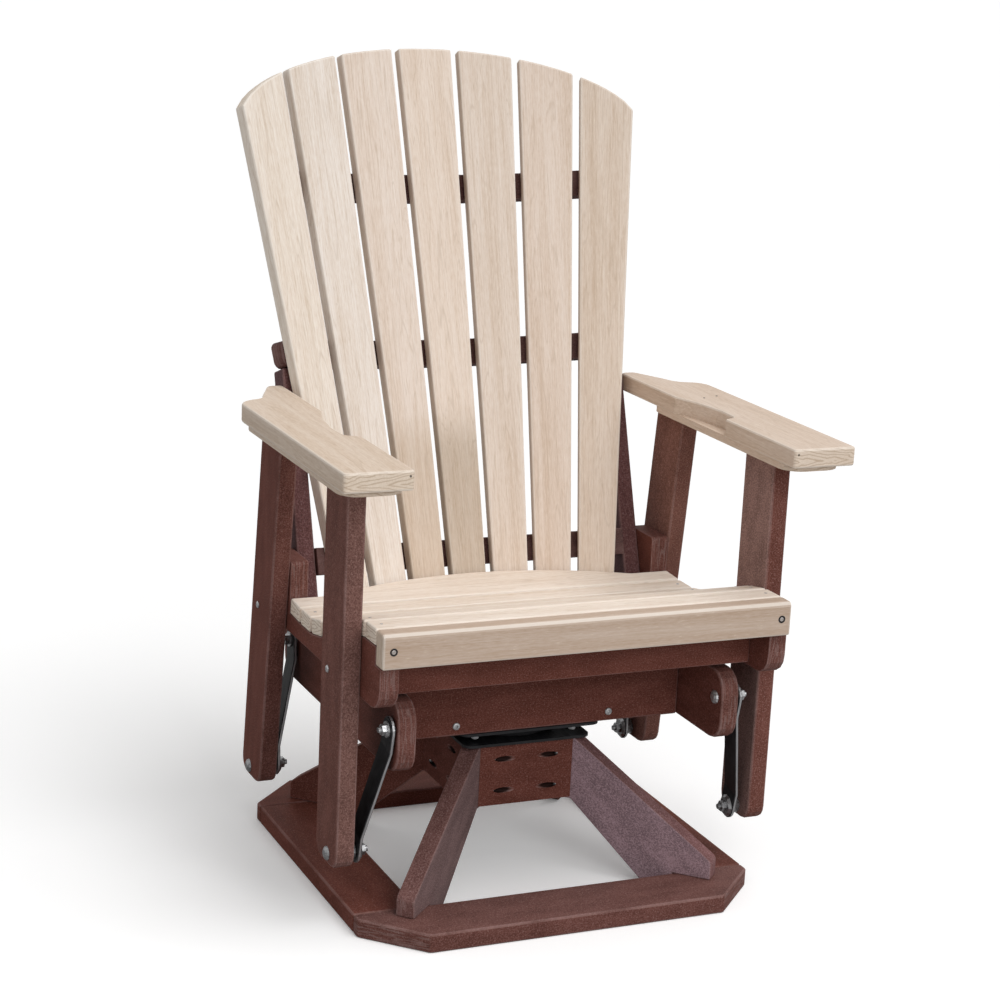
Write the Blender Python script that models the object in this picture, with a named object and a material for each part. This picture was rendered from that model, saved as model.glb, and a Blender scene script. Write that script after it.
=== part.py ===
"""Swivel glider with a fan back: board base and hub, swivel bearing, hanging link glide, contoured seat.

Metres, +Z up, the front faces -Y. Heights start at the floor. Plan positions in the values below are
measured from the swivel axis, and left and right are as seen from the front.
"""

from math import asin, atan, atan2, ceil, cos, hypot, pi, radians, sin, sqrt, tan

import bmesh
import bpy
from mathutils import Matrix, Vector

# Fits and edges
SEAT_GAP = 0.0003  # between pieces that touch
RUN_GAP = 0.0005  # around shanks and between the bearing races
EDGE_R = 0.003  # rounded board edges
FINE_EDGE_R = 0.001
CUT_OVERRUN = 0.002
ARC_STEP = radians(23)
CONE_STEP = radians(5)
FLAT_LIMIT = radians(28)

# Board stock
FRAME_T = 0.028
SEAT_SLAT_T = 0.024
BACK_SLAT_T = 0.022
ARM_T = 0.028
CLEAT_T = 0.0094
POST_W = 0.086

# Base frame and hub
BASE_HALF = 0.311
BASE_CLIP = 0.080
BASE_BOARD_W = 0.097
HUB_HALF = 0.096
HUB_H = 0.095
HUB_TOP = 0.213
POCKET_R = 0.0045
POCKET_TILT = radians(15)
POCKET_DEPTH = 0.0095
POCKET_END = 0.022  # from the board's outer end to the deep end of the pocket
POCKET_SPREAD = 0.0245  # above and below the middle of the hub
STRUT_TOE_INSET = 0.036
STRUT_TOE_H = 0.028
STRUT_FLOOR_GAP = 0.003
STRUT_HEEL_RUN = 0.045
STRUT_HEEL_RISE = 0.008
STRUT_TOE_R = 0.010
STRUT_LOWER_DROP = 0.003  # underside of the strut's top end, below the hub boards

# Swivel bearing
SWIVEL_H = 0.0264
PLATE_T = 0.004
PLATE_R = 0.014
LOWER_PLATE_HALF = 0.102
RACE_R = 0.078
RACE_W = 0.018
PLATE_BORE_R = 0.036

# Swivel frame: two rails and two cross beams
RAIL_H = 0.106
RAIL_HALF_L = 0.247
RAIL_CORNER_R = 0.033
BEAM_FACE = 0.112

# Glide linkage
TOP_PIVOT_DROP = 0.041
LINK_FALL = 0.193
FRONT_TOP_Y = -0.226
FRONT_BOTTOM_Y = -0.182
REAR_TOP_Y = 0.198
REAR_BOTTOM_Y = 0.180
LINK_W = 0.037
LINK_T = 0.005
LINK_KNEE = 0.030
LINK_SPAN = 0.0467  # from the rail's outer face to the leg's inner face
LINK_SPACER = 0.0111
PIN_R = 0.0047
OPEN_PIVOT_GAP = 0.0034
HEAD_R = 0.0105
HEAD_H = 0.0048
HEAD_SHOULDER_SHARE = 0.9  # of the head's radius, half way up
WASHER_R = 0.012
WASHER_T = 0.0022
CUP_R = 0.017
CUP_T = 0.0036
CUP_FACE_SHARE = 0.8  # of the cup's radius, at its outer face
NUT_R = 0.0085
NUT_L = 0.0072
THREAD_R = 0.0042
THREAD_L = 0.0045
PIN_SIDES = 12

# Chair legs and seat
SEAT_HALF = 0.3134
LEG_TAIL = 0.015
LEG_CORNER_R = 0.022
POST_LEAD = 0.0363
REAR_LEG_LEAD = 0.050
REAR_LEG_LEAN = radians(6.5)
FRAME_RISE = 0.006  # stringers above the rails
APRON_RISE = 0.012
SEAT_RISE = 0.114  # seat front above the stringers' bottom
SEAT_DIP = 0.064
SEAT_FRONT_Y = -0.2983
FASCIA_H = 0.0504
FASCIA_ROUND = 0.007
FASCIA_GAP = 0.0023
SEAT_HUMP_Y = -0.245
SEAT_DIP_Y = 0.020
SEAT_REAR_SLOPE = 0.05
SEAT_SLATS = 7
SEAT_SLAT_GAP = 0.005
REAR_SLAT_END_W = 0.042
SEAT_BACK_GAP = 0.004
REAR_SLAT_STEP = 0.0071  # from the rear slat's arc to the upright
STRINGER_NOSE = 0.0083
STRINGER_NOSE_R = 0.042
STRINGER_BLOCK_RISE = 0.108
STRINGER_REAR_Y = 0.170
BLOCK_GAP = 0.001
BLOCK_R = 0.006
APRON_INSET = 0.0623

# Fan back: slats on a cone about an upright axis
BACK_RISE = 0.838  # top of the middle slat above the stringers' bottom
BACK_FOOT_RISE = 0.048
BACK_FOOT_Y = 0.1475
BACK_SLOPE = 0.3502
BACK_CURVE_R = 0.5885
BACK_SLATS = 7
BACK_ARM_GAP = 0.0075  # between the outer slats and the arms' inner edges, at the arms' top
BACK_FOOT_GAP = 0.0118
BACK_TOP_GAP = 0.0118
CROWN_MARGIN = 0.0105  # half the crown's span, beyond the outer slats' edges at its low ends
CROWN_DROP = 0.105
CROWN_STEPS = 6
BATTEN_T = 0.028
BATTEN_H = 0.041
BATTEN_END_R = 0.011
BATTEN_LEAN = 0.32  # how much the battens rise on their way forward to their ends
BATTEN_OVERHANG = 0.0089  # middle batten beyond the uprights
BATTEN_INSET = 0.0121  # top batten within the outer slats' edges
LOWER_BATTEN_RISE = 0.059
MIDDLE_BATTEN_RISE = 0.357
TOP_BATTEN_RISE = 0.605
UPRIGHT_W = 0.044

# Arms
ARM_RISE = 0.3444  # top of the arms above the stringers' bottom
ARM_W = 0.0996
ARM_OVERHANG = 0.0207
TAIL_LAP = 0.014
CLEAT_FRONT = 0.018
CLEAT_REAR_Y = 0.130
CLEAT_INSET = 0.002  # from the arm's inner edge
CLEAT_SHORTFALL = 0.0065  # from the arm's outer edge
CLEAT_R = 0.028
CLEAT_SINK = 0.002
# Each corner of the arm: share of its width from the inner edge, share of its length, share of width as radius
ARM_CORNER_SHARES = (
    (1.0, 0.0, 0.05),
    (1.0, 0.822, 0.38),
    (0.58, 0.850, 0.30),
    (0.50, 0.895, 0.40),
    (0.24, 1.0, 0.12),
    (0.0, 1.0, 0.06),
    (0.0, 0.659, 0.05),
    (0.15, 0.575, 1.20),
    (0.235, 0.465, 0.50),
    (0.215, 0.385, 0.15),
    (0.0, 0.369, 0.05),
    (0.0, 0.0, 0.05),
)

# Heights that follow from the stack of pieces
FRAME_BOTTOM = HUB_TOP + 2 * SEAT_GAP + SWIVEL_H
RAIL_TOP = FRAME_BOTTOM + RAIL_H
TOP_PIVOT_Z = RAIL_TOP - TOP_PIVOT_DROP
BOTTOM_PIVOT_Z = TOP_PIVOT_Z - LINK_FALL
LEG_BOTTOM = BOTTOM_PIVOT_Z - LEG_TAIL
STRINGER_BOTTOM = RAIL_TOP + FRAME_RISE
SEAT_TOP = STRINGER_BOTTOM + SEAT_RISE
ARM_TOP = STRINGER_BOTTOM + ARM_RISE
CLEAT_BOTTOM = ARM_TOP - ARM_T - CLEAT_T
LEG_TOP = CLEAT_BOTTOM - SEAT_GAP
BACK_TOP = STRINGER_BOTTOM + BACK_RISE
BACK_FOOT = STRINGER_BOTTOM + BACK_FOOT_RISE

# Places across the width
LEG_IN = SEAT_HALF + SEAT_GAP
LEG_OUT = LEG_IN + FRAME_T
STRINGER_IN = SEAT_HALF - FRAME_T
UPRIGHT_OUT = STRINGER_IN - SEAT_GAP
UPRIGHT_IN = UPRIGHT_OUT - FRAME_T
RAIL_OUT = LEG_IN - LINK_SPAN
RAIL_IN = RAIL_OUT - FRAME_T
LINK_TOP_X = RAIL_OUT + WASHER_T + 2 * SEAT_GAP
LINK_BOTTOM_X = LEG_IN - LINK_SPACER - 2 * SEAT_GAP - LINK_T
ARM_IN = UPRIGHT_OUT + SEAT_GAP

# The cone of the back
CONE_Y = BACK_FOOT_Y - BACK_CURVE_R
RECLINE = atan(BACK_SLOPE)
SLAT_FLAT_T = BACK_SLAT_T / cos(RECLINE)


def cone_radius(z):
    """Plan radius of the slats' front faces at this height."""
    return BACK_CURVE_R + BACK_SLOPE * (z - BACK_FOOT)


# The fan fills the width between the arms
FAN_REACH = asin((ARM_IN - BACK_ARM_GAP) / (cone_radius(ARM_TOP) + SLAT_FLAT_T))
FAN_STEP = (FAN_REACH + BACK_FOOT_GAP / 2 / cone_radius(ARM_TOP)) / (BACK_SLATS / 2)
BACK_SLAT_W = FAN_STEP * BACK_CURVE_R - BACK_FOOT_GAP
BACK_TOP_W = FAN_STEP * cone_radius(BACK_TOP) - BACK_TOP_GAP
BACK_SAG = hypot(cone_radius(BACK_TOP), BACK_TOP_W / 2) - cone_radius(BACK_TOP)


def fan_edge_x(z):
    """Half the fan's width at this height, at the slats' front faces."""
    return cone_radius(z) * sin(BACK_SLATS / 2 * FAN_STEP - BACK_TOP_GAP / 2 / cone_radius(z))


def batten_lift(z, angle):
    """How far a batten has risen at this angle from the middle."""
    return BATTEN_LEAN * cone_radius(z) * (1 - cos(angle))


CROWN_HALF = fan_edge_x(BACK_TOP - CROWN_DROP) + CROWN_MARGIN
MIDDLE_BATTEN_Z = STRINGER_BOTTOM + MIDDLE_BATTEN_RISE
TOP_BATTEN_Z = STRINGER_BOTTOM + TOP_BATTEN_RISE
MIDDLE_BATTEN_HALF = UPRIGHT_OUT + BATTEN_OVERHANG
TOP_BATTEN_HALF = fan_edge_x(TOP_BATTEN_Z) - BATTEN_INSET

# The uprights' front edges clear the backs of the outer slats up to their tops
JOINT_R = cone_radius(MIDDLE_BATTEN_Z + batten_lift(MIDDLE_BATTEN_Z, FAN_REACH))
UPRIGHT_LEAD = JOINT_R - sqrt((JOINT_R + SLAT_FLAT_T + BACK_SAG) ** 2 - UPRIGHT_IN ** 2) - SEAT_GAP

# The model's middle in plan: the swivel axis stands ahead of it
REACH_FRONT = max(BASE_HALF, ARM_OVERHANG - SEAT_FRONT_Y)
REACH_REAR = BACK_FOOT_Y + BACK_SLOPE * (BACK_TOP - BACK_FOOT) + BACK_SLAT_T * cos(RECLINE)
REACH_REAR -= EDGE_R * sin(RECLINE)
AXIS_Y = (REACH_FRONT - REACH_REAR) / 2


def upright_front(z):
    """Front edge of the uprights, which lean with the back."""
    return BACK_FOOT_Y + BACK_SLOPE * (z - BACK_FOOT) - UPRIGHT_LEAD


def seat_height(y):
    """Top of the seat: level at the front, over a rounded hump and down to the dip."""
    if y <= SEAT_HUMP_Y:
        return SEAT_TOP
    if y <= SEAT_DIP_Y:
        turn = pi * (y - SEAT_HUMP_Y) / (SEAT_DIP_Y - SEAT_HUMP_Y)
        return SEAT_TOP - SEAT_DIP * (1 - cos(turn)) / 2
    return SEAT_TOP - SEAT_DIP + SEAT_REAR_SLOPE * (y - SEAT_DIP_Y)


def material(name, colour, roughness, metallic=0.0):
    made = bpy.data.materials.new(name)
    made.use_nodes = True
    shader = made.node_tree.nodes["Principled BSDF"]
    shader.inputs["Base Color"].default_value = (*colour, 1.0)
    shader.inputs["Roughness"].default_value = roughness
    shader.inputs["Metallic"].default_value = metallic
    return made


def empty(name, location):
    made = bpy.data.objects.new(name, None)
    made.location = location
    made.empty_display_size = FRAME_T
    bpy.context.scene.collection.objects.link(made)
    return made


def solid(name, mesh_data, look, parent, matrix):
    """A named object at this place in the world, carried by its parent."""
    mesh = bpy.data.meshes.new(name)
    mesh_data.normal_update()
    mesh_data.to_mesh(mesh)
    mesh_data.free()
    made = bpy.data.objects.new(name, mesh)
    mesh.materials.append(look)
    mesh.shade_smooth()
    mesh.set_sharp_from_angle(angle=FLAT_LIMIT)
    bpy.context.scene.collection.objects.link(made)
    made.parent = parent
    local = parent.matrix_basis.inverted() @ matrix
    made.location = local.to_translation()
    made.rotation_euler = local.to_euler()
    return made


def round_edges(made, width, segments=2):
    bevel = made.modifiers.new("edges", "BEVEL")
    bevel.width = width
    bevel.segments = segments
    bevel.limit_method = "ANGLE"
    bevel.angle_limit = FLAT_LIMIT
    bevel.harden_normals = True
    return made


def helper(made):
    made.hide_render = True
    made.display_type = "WIRE"
    return made


def cut(made, cutter, operation="DIFFERENCE"):
    change = made.modifiers.new(cutter.name, "BOOLEAN")
    change.operation = operation
    change.object = helper(cutter)
    return made


def extruded(outline, depth):
    """The outline, drawn in local X and Y, drawn out to half the depth on both sides."""
    data = bmesh.new()
    points = [data.verts.new((x, y, -depth / 2)) for x, y in outline]
    face = data.faces.new(points)
    moved = bmesh.ops.extrude_face_region(data, geom=[face])
    top = [v for v in moved["geom"] if isinstance(v, bmesh.types.BMVert)]
    bmesh.ops.translate(data, verts=top, vec=(0, 0, depth))
    bmesh.ops.recalc_face_normals(data, faces=data.faces)
    return data


def rounded(corners):
    """An outline with each corner (x, y, radius) turned into an arc."""
    outline = []
    count = len(corners)
    for i, (x, y, radius) in enumerate(corners):
        here = Vector((x, y))
        back = Vector(corners[i - 1][:2]) - here
        ahead = Vector(corners[(i + 1) % count][:2]) - here
        turn = pi - back.angle(ahead)
        if radius <= 0 or turn < FINE_EDGE_R:
            outline.append((x, y))
            continue
        reach = min(radius * tan(turn / 2), min(back.length, ahead.length) / 2)
        radius = reach / tan(turn / 2)
        back.normalize()
        ahead.normalize()
        centre = here + (back + ahead).normalized() * hypot(radius, reach)
        start = here + back * reach - centre
        sign = 1 if start.x * (ahead.y - back.y) - start.y * (ahead.x - back.x) > 0 else -1
        steps = max(1, ceil(turn / ARC_STEP))
        for k in range(steps + 1):
            spin = Matrix.Rotation(sign * turn * k / steps, 2)
            point = centre + spin @ start
            outline.append((point.x, point.y))
    return outline


def box_outline(x0, x1, y0, y1, radius=0.0):
    return rounded([(x0, y0, radius), (x1, y0, radius), (x1, y1, radius), (x0, y1, radius)])


def facing(across, up, location):
    """The matrix whose local X and Y lie along these directions."""
    across = Vector(across).normalized()
    up = Vector(up).normalized()
    axes = Matrix((across, up, across.cross(up))).transposed().to_4x4()
    return Matrix.Translation(location) @ axes


def plan(location=(0, 0, 0)):
    return facing((1, 0, 0), (0, 1, 0), location)


def side(x):
    """Local X to the rear and local Y up, on a board whose middle plane stands at x."""
    return facing((0, 1, 0), (0, 0, 1), (x, 0, 0))


def board(name, outline, depth, look, parent, matrix, edge=EDGE_R):
    """A board cut to an outline that is drawn about the swivel axis, with its origin at its own middle."""
    middle_x = (min(x for x, _ in outline) + max(x for x, _ in outline)) / 2
    middle_y = (min(y for _, y in outline) + max(y for _, y in outline)) / 2
    centred = [(x - middle_x, y - middle_y) for x, y in outline]
    placed = from_axis(matrix @ Matrix.Translation((middle_x, middle_y, 0)))
    made = solid(name, extruded(centred, depth), look, parent, placed)
    return round_edges(made, edge) if edge else made


def from_axis(matrix):
    """Moves a place measured from the swivel axis into the model's frame."""
    return Matrix.Translation((0, AXIS_Y, 0)) @ matrix


def turned(name, rings, look, parent, matrix):
    """A turned piece along local Z. Each ring is (place, radius, hexagonal)."""
    data = bmesh.new()
    loops = []
    for place, radius, hexagonal in rings:
        loop = []
        for k in range(PIN_SIDES):
            flat = cos(pi / 6) if hexagonal and k % 2 else 1
            angle = 2 * pi * k / PIN_SIDES
            loop.append(data.verts.new((radius * flat * cos(angle), radius * flat * sin(angle), place)))
        loops.append(loop)
    for lower, upper in zip(loops, loops[1:]):
        for k in range(PIN_SIDES):
            j = (k + 1) % PIN_SIDES
            data.faces.new((lower[k], lower[j], upper[j], upper[k]))
    data.faces.new(loops[0][::-1])
    data.faces.new(loops[-1])
    bmesh.ops.recalc_face_normals(data, faces=data.faces)
    return solid(name, data, look, parent, matrix)


def hole(made, name, radius, location, length, parent):
    """Cuts a round hole along X through the piece."""
    data = bmesh.new()
    bmesh.ops.create_cone(
        data, cap_ends=True, segments=PIN_SIDES, radius1=radius, radius2=radius, depth=length
    )
    along_x = facing((0, 1, 0), (0, 0, 1), location)
    return cut(made, solid(name, data, dark_steel, parent, from_axis(along_x)))


for old in list(bpy.data.objects):
    bpy.data.objects.remove(old)

tan_lumber = material("tan_lumber", (0.62, 0.49, 0.37), 0.55)
brown_lumber = material("brown_lumber", (0.085, 0.030, 0.024), 0.42)
dark_steel = material("dark_steel", (0.020, 0.020, 0.022), 0.32, 1.0)
bright_steel = material("bright_steel", (0.55, 0.55, 0.56), 0.28, 1.0)

base = empty("base_origin", (0, AXIS_Y, 0))
swivel = empty("swivel_axis", (0, AXIS_Y, HUB_TOP + SEAT_GAP + SWIVEL_H / 2))
chair = empty("chair_pivot", (0, AXIS_Y + FRONT_BOTTOM_Y, BOTTOM_PIVOT_Z))
bpy.context.view_layer.update()

SIDES = (("left", -1), ("right", 1))
ENDS = (("front", -1), ("rear", 1))

# Base: the front and rear boards run through and carry the clipped corners, the side boards butt between
base_inner = BASE_HALF - BASE_BOARD_W
for end, way in ENDS:
    outline = [
        (-BASE_HALF, way * base_inner),
        (BASE_HALF, way * base_inner),
        (BASE_HALF, way * (BASE_HALF - BASE_CLIP)),
        (BASE_HALF - BASE_CLIP, way * BASE_HALF),
        (BASE_CLIP - BASE_HALF, way * BASE_HALF),
        (-BASE_HALF, way * (BASE_HALF - BASE_CLIP)),
    ]
    board("base_board_" + end, outline, FRAME_T, brown_lumber, base, plan((0, 0, FRAME_T / 2)))
for hand, way in SIDES:
    half = base_inner - SEAT_GAP
    outline = box_outline(*sorted((way * base_inner, way * BASE_HALF)), -half, half)
    board("base_board_" + hand, outline, FRAME_T, brown_lumber, base, plan((0, 0, FRAME_T / 2)))

# Struts on the diagonals and mitred hub boards between them
strut_reach = FRAME_T / 2 + SEAT_GAP
hub_bottom = HUB_TOP - HUB_H
strut_in = sqrt(2) * (HUB_HALF - FRAME_T) - strut_reach
strut_shoulder = sqrt(2) * HUB_HALF - strut_reach
strut_toe = (2 * BASE_HALF - BASE_CLIP) / sqrt(2) - STRUT_TOE_INSET
strut_notch = sqrt(2) * base_inner - strut_reach
strut_foot = FRAME_T + SEAT_GAP
strut_heel = strut_notch - STRUT_HEEL_RUN
strut_outline = rounded([
    (strut_in, hub_bottom - STRUT_LOWER_DROP, 0),
    (strut_shoulder, hub_bottom - STRUT_LOWER_DROP, 0),
    (strut_heel - STRUT_HEEL_RISE, STRUT_FLOOR_GAP + STRUT_HEEL_RISE, 0),
    (strut_heel, STRUT_FLOOR_GAP, 0),
    (strut_notch, STRUT_FLOOR_GAP, 0),
    (strut_notch, strut_foot, 0),
    (strut_toe, strut_foot, 0),
    (strut_toe, strut_foot + STRUT_TOE_H, STRUT_TOE_R),
    (strut_shoulder, HUB_TOP, 0),
    (strut_in, HUB_TOP, 0),
])
for end, way in ENDS:
    for hand, across in SIDES:
        matrix = facing((across, way, 0), (0, 0, 1), (0, 0, 0))
        board("strut_" + end + "_" + hand, strut_outline, FRAME_T, brown_lumber, base, matrix, EDGE_R / 2)

mitre = sqrt(2) * strut_reach
for name, across in (("front", (1, 0, 0)), ("right", (0, 1, 0)), ("rear", (-1, 0, 0)), ("left", (0, -1, 0))):
    outer = HUB_HALF - mitre
    inner = outer - FRAME_T
    outline = [(-outer, -HUB_HALF), (outer, -HUB_HALF), (inner, FRAME_T - HUB_HALF), (-inner, FRAME_T - HUB_HALF)]
    depth_way = Vector((0, 0, 1)).cross(Vector(across))
    matrix = facing(across, depth_way, (0, 0, HUB_TOP - HUB_H / 2))
    made = board("hub_board_" + name, outline, HUB_H, brown_lumber, base, matrix, FINE_EDGE_R)
    for level in (-1, 1):
        for way in (-1, 1):
            data = bmesh.new()
            length = POCKET_DEPTH / sin(POCKET_TILT) + POCKET_R / tan(POCKET_TILT)
            bmesh.ops.create_cone(
                data, cap_ends=True, segments=10, radius1=POCKET_R, radius2=POCKET_R, depth=2 * length
            )
            bmesh.ops.translate(data, verts=data.verts, vec=(0, 0, -length))
            run = Vector((way * cos(POCKET_TILT), sin(POCKET_TILT), 0))
            depth = POCKET_DEPTH - POCKET_R * cos(POCKET_TILT)
            tip = Vector((way * (outer - POCKET_END), depth - HUB_HALF, level * POCKET_SPREAD))
            aim = matrix @ Matrix.Translation(tip) @ Vector((0, 0, 1)).rotation_difference(run).to_matrix().to_4x4()
            label = name + "_pocket_" + ("low" if level < 0 else "high") + ("_a" if way < 0 else "_b")
            cut(made, solid(label, data, brown_lumber, base, from_axis(aim)))

# Swivel bearing: a plate with a race on the hub, its mate under the beams
race_h = (SWIVEL_H - 2 * PLATE_T - RUN_GAP) / 2
for name, half, plate_z, race_z, carrier in (
    ("swivel_plate_lower", LOWER_PLATE_HALF, HUB_TOP + SEAT_GAP, PLATE_T, base),
    ("swivel_plate_upper", BEAM_FACE, HUB_TOP + SEAT_GAP + SWIVEL_H - PLATE_T, -race_h, swivel),
):
    plate = extruded(box_outline(-half, half, -half, half, PLATE_R), PLATE_T)
    middle = plate_z + PLATE_T / 2
    made = solid(name, plate, dark_steel, carrier, from_axis(plan((0, 0, middle))))
    race = bmesh.new()
    sunk = race_h + PLATE_T / 2
    bmesh.ops.create_cone(race, cap_ends=True, segments=24, radius1=RACE_R, radius2=RACE_R, depth=sunk)
    shift = sunk / 2 if race_z > 0 else -sunk / 2
    cut(made, solid(name + "_race", race, dark_steel, carrier, from_axis(plan((0, 0, middle + shift)))), "UNION")
    for label, radius, low, high in (
        ("_groove", RACE_R - RACE_W, PLATE_T / 2, race_h + PLATE_T / 2 + CUT_OVERRUN),
        ("_bore", PLATE_BORE_R, -PLATE_T - CUT_OVERRUN, race_h + PLATE_T + CUT_OVERRUN),
    ):
        opened = bmesh.new()
        bmesh.ops.create_cone(
            opened, cap_ends=True, segments=24, radius1=radius, radius2=radius, depth=high - low
        )
        shift = (low + high) / 2 if race_z > 0 else -(low + high) / 2
        cut(made, solid(name + label, opened, dark_steel, carrier, from_axis(plan((0, 0, middle + shift)))))

# Swivel frame
beam_half = RAIL_IN - SEAT_GAP
for end, way in ENDS:
    outline = box_outline(-beam_half, beam_half, FRAME_BOTTOM, RAIL_TOP)
    matrix = facing((1, 0, 0), (0, 0, 1), (0, way * (BEAM_FACE - FRAME_T / 2), 0))
    board("cross_beam_" + end, outline, FRAME_T, brown_lumber, swivel, matrix)
for hand, way in SIDES:
    middle = way * (RAIL_OUT - FRAME_T / 2)
    outline = box_outline(-RAIL_HALF_L, RAIL_HALF_L, FRAME_BOTTOM, RAIL_TOP, RAIL_CORNER_R)
    made = board("side_rail_" + hand, outline, FRAME_T, brown_lumber, swivel, side(middle))
    for end, pivot_y in (("front", FRONT_TOP_Y), ("rear", REAR_TOP_Y)):
        length = FRAME_T + 2 * CUT_OVERRUN
        name = "side_rail_" + hand + "_hole_" + end
        hole(made, name, PIN_R + RUN_GAP, (middle, pivot_y, TOP_PIVOT_Z), length, swivel)


def link_data(length, offset):
    """A flat bar hanging from its top eye: it bends outwards below the eye and back to upright above the lower eye."""
    data = bmesh.new()
    half = LINK_W / 2
    arc = [(half * sin(k * pi / 8), half * cos(k * pi / 8)) for k in range(-4, 5)]
    levels = (
        [(y, z, 0) for y, z in arc],
        [(half, -LINK_KNEE, 0)],
        [(half, LINK_KNEE - length, offset)],
        [(y, -z - length, offset) for y, z in reversed(arc)],
        [(-half, LINK_KNEE - length, offset)],
        [(-half, -LINK_KNEE, 0)],
    )
    skins = []
    for thick in (0, LINK_T):
        rows = [[data.verts.new((x + thick, y, z)) for y, z, x in level] for level in levels]
        faces = [
            rows[0] + rows[1] + rows[5],
            [rows[5][0], rows[1][0], rows[2][0], rows[4][0]],
            rows[2] + rows[3] + rows[4],
        ]
        for face in faces:
            data.faces.new(face)
        skins.append([v for row in rows for v in row])
    count = len(skins[0])
    for k in range(count):
        j = (k + 1) % count
        data.faces.new((skins[0][k], skins[0][j], skins[1][j], skins[1][k]))
    bmesh.ops.recalc_face_normals(data, faces=data.faces)
    return data


# Links, and the bolts that they hang on
link_offset = LINK_BOTTOM_X - LINK_TOP_X
upper_bolt = (
    (-SEAT_GAP - HEAD_H, HEAD_R / 2, False),
    (-SEAT_GAP - HEAD_H / 2, HEAD_SHOULDER_SHARE * HEAD_R, False),
    (-SEAT_GAP, HEAD_R, False),
    (-SEAT_GAP, PIN_R, False),
    (FRAME_T + SEAT_GAP, PIN_R, False),
    (FRAME_T + SEAT_GAP, WASHER_R, False),
    (FRAME_T + SEAT_GAP + WASHER_T, WASHER_R, False),
    (FRAME_T + SEAT_GAP + WASHER_T, PIN_R, False),
)
nut_at = FRAME_T + WASHER_T + LINK_T + 3 * SEAT_GAP
upper_bolt += (
    (nut_at, PIN_R, False),
    (nut_at, WASHER_R, False),
    (nut_at + WASHER_T, WASHER_R, False),
    (nut_at + WASHER_T, NUT_R, True),
    (nut_at + WASHER_T + NUT_L, NUT_R, True),
    (nut_at + WASHER_T + NUT_L, THREAD_R, False),
    (nut_at + WASHER_T + NUT_L + THREAD_L, THREAD_R, False),
)
spacer_at = FRAME_T + 2 * SEAT_GAP
cup_at = spacer_at + LINK_SPACER + LINK_T + SEAT_GAP
lower_bolt = (
    (-HEAD_H, HEAD_R / 2, False),
    (-HEAD_H / 2, HEAD_SHOULDER_SHARE * HEAD_R, False),
    (0, HEAD_R, False),
    (0, PIN_R, False),
    (spacer_at, PIN_R, False),
    (spacer_at, WASHER_R, False),
    (spacer_at + LINK_SPACER - SEAT_GAP, WASHER_R, False),
    (spacer_at + LINK_SPACER - SEAT_GAP, PIN_R, False),
    (cup_at, PIN_R, False),
    (cup_at, CUP_R, False),
    (cup_at + CUP_T, CUP_FACE_SHARE * CUP_R, False),
    (cup_at + CUP_T, NUT_R, True),
    (cup_at + CUP_T + NUT_L, NUT_R, True),
    (cup_at + CUP_T + NUT_L, THREAD_R, False),
    (cup_at + CUP_T + NUT_L + THREAD_L, THREAD_R, False),
)
PIVOTS = {"front": (FRONT_TOP_Y, FRONT_BOTTOM_Y), "rear": (REAR_TOP_Y, REAR_BOTTOM_Y)}
for end, (top_y, bottom_y) in PIVOTS.items():
    length = hypot(bottom_y - top_y, LINK_FALL)
    lean = atan2(bottom_y - top_y, LINK_FALL)
    for hand, way in SIDES:
        pivot = empty("link_pivot_" + end + "_" + hand, (0, top_y, TOP_PIVOT_Z - swivel.location.z))
        pivot.parent = swivel
        bpy.context.view_layer.update()
        turn = Matrix.Rotation(lean, 4, "X") @ Matrix.Rotation(0 if way > 0 else pi, 4, "Z")
        place = Matrix.Translation((way * LINK_TOP_X, top_y, TOP_PIVOT_Z))
        hanging = link_data(length, link_offset)
        made = solid("link_" + end + "_" + hand, hanging, dark_steel, swivel, from_axis(place @ turn))
        round_edges(made, FINE_EDGE_R, 1)
        lower_radius = PIN_R + (OPEN_PIVOT_GAP if end == "rear" else RUN_GAP)
        for label, radius, z, x in (("top", PIN_R + RUN_GAP, 0, 0), ("low", lower_radius, -length, link_offset)):
            local = place @ turn @ Vector((x + LINK_T / 2, 0, z))
            name = "link_" + end + "_" + hand + "_hole_" + label
            hole(made, name, radius, local, LINK_T + 2 * CUT_OVERRUN, swivel)
        out = facing((0, 1, 0), (0, 0, way), (way * RAIL_IN, top_y, TOP_PIVOT_Z))
        turned("upper_bolt_" + end + "_" + hand, upper_bolt, bright_steel, swivel, from_axis(out))
        inward = facing((0, 1, 0), (0, 0, -way), (way * (LEG_OUT + SEAT_GAP), bottom_y, BOTTOM_PIVOT_Z))
        turned("lower_bolt_" + end + "_" + hand, lower_bolt, bright_steel, chair, from_axis(inward))

# Legs: upright posts in front, leaning legs behind
post_front = FRONT_BOTTOM_Y - POST_LEAD
post_outline = rounded([
    (post_front, LEG_BOTTOM, LEG_CORNER_R),
    (post_front + POST_W, LEG_BOTTOM, LEG_CORNER_R),
    (post_front + POST_W, LEG_TOP, 0),
    (post_front, LEG_TOP, 0),
])


def rear_leg_front(z):
    return REAR_BOTTOM_Y - REAR_LEG_LEAD + (BOTTOM_PIVOT_Z - z) * tan(REAR_LEG_LEAN)


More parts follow.
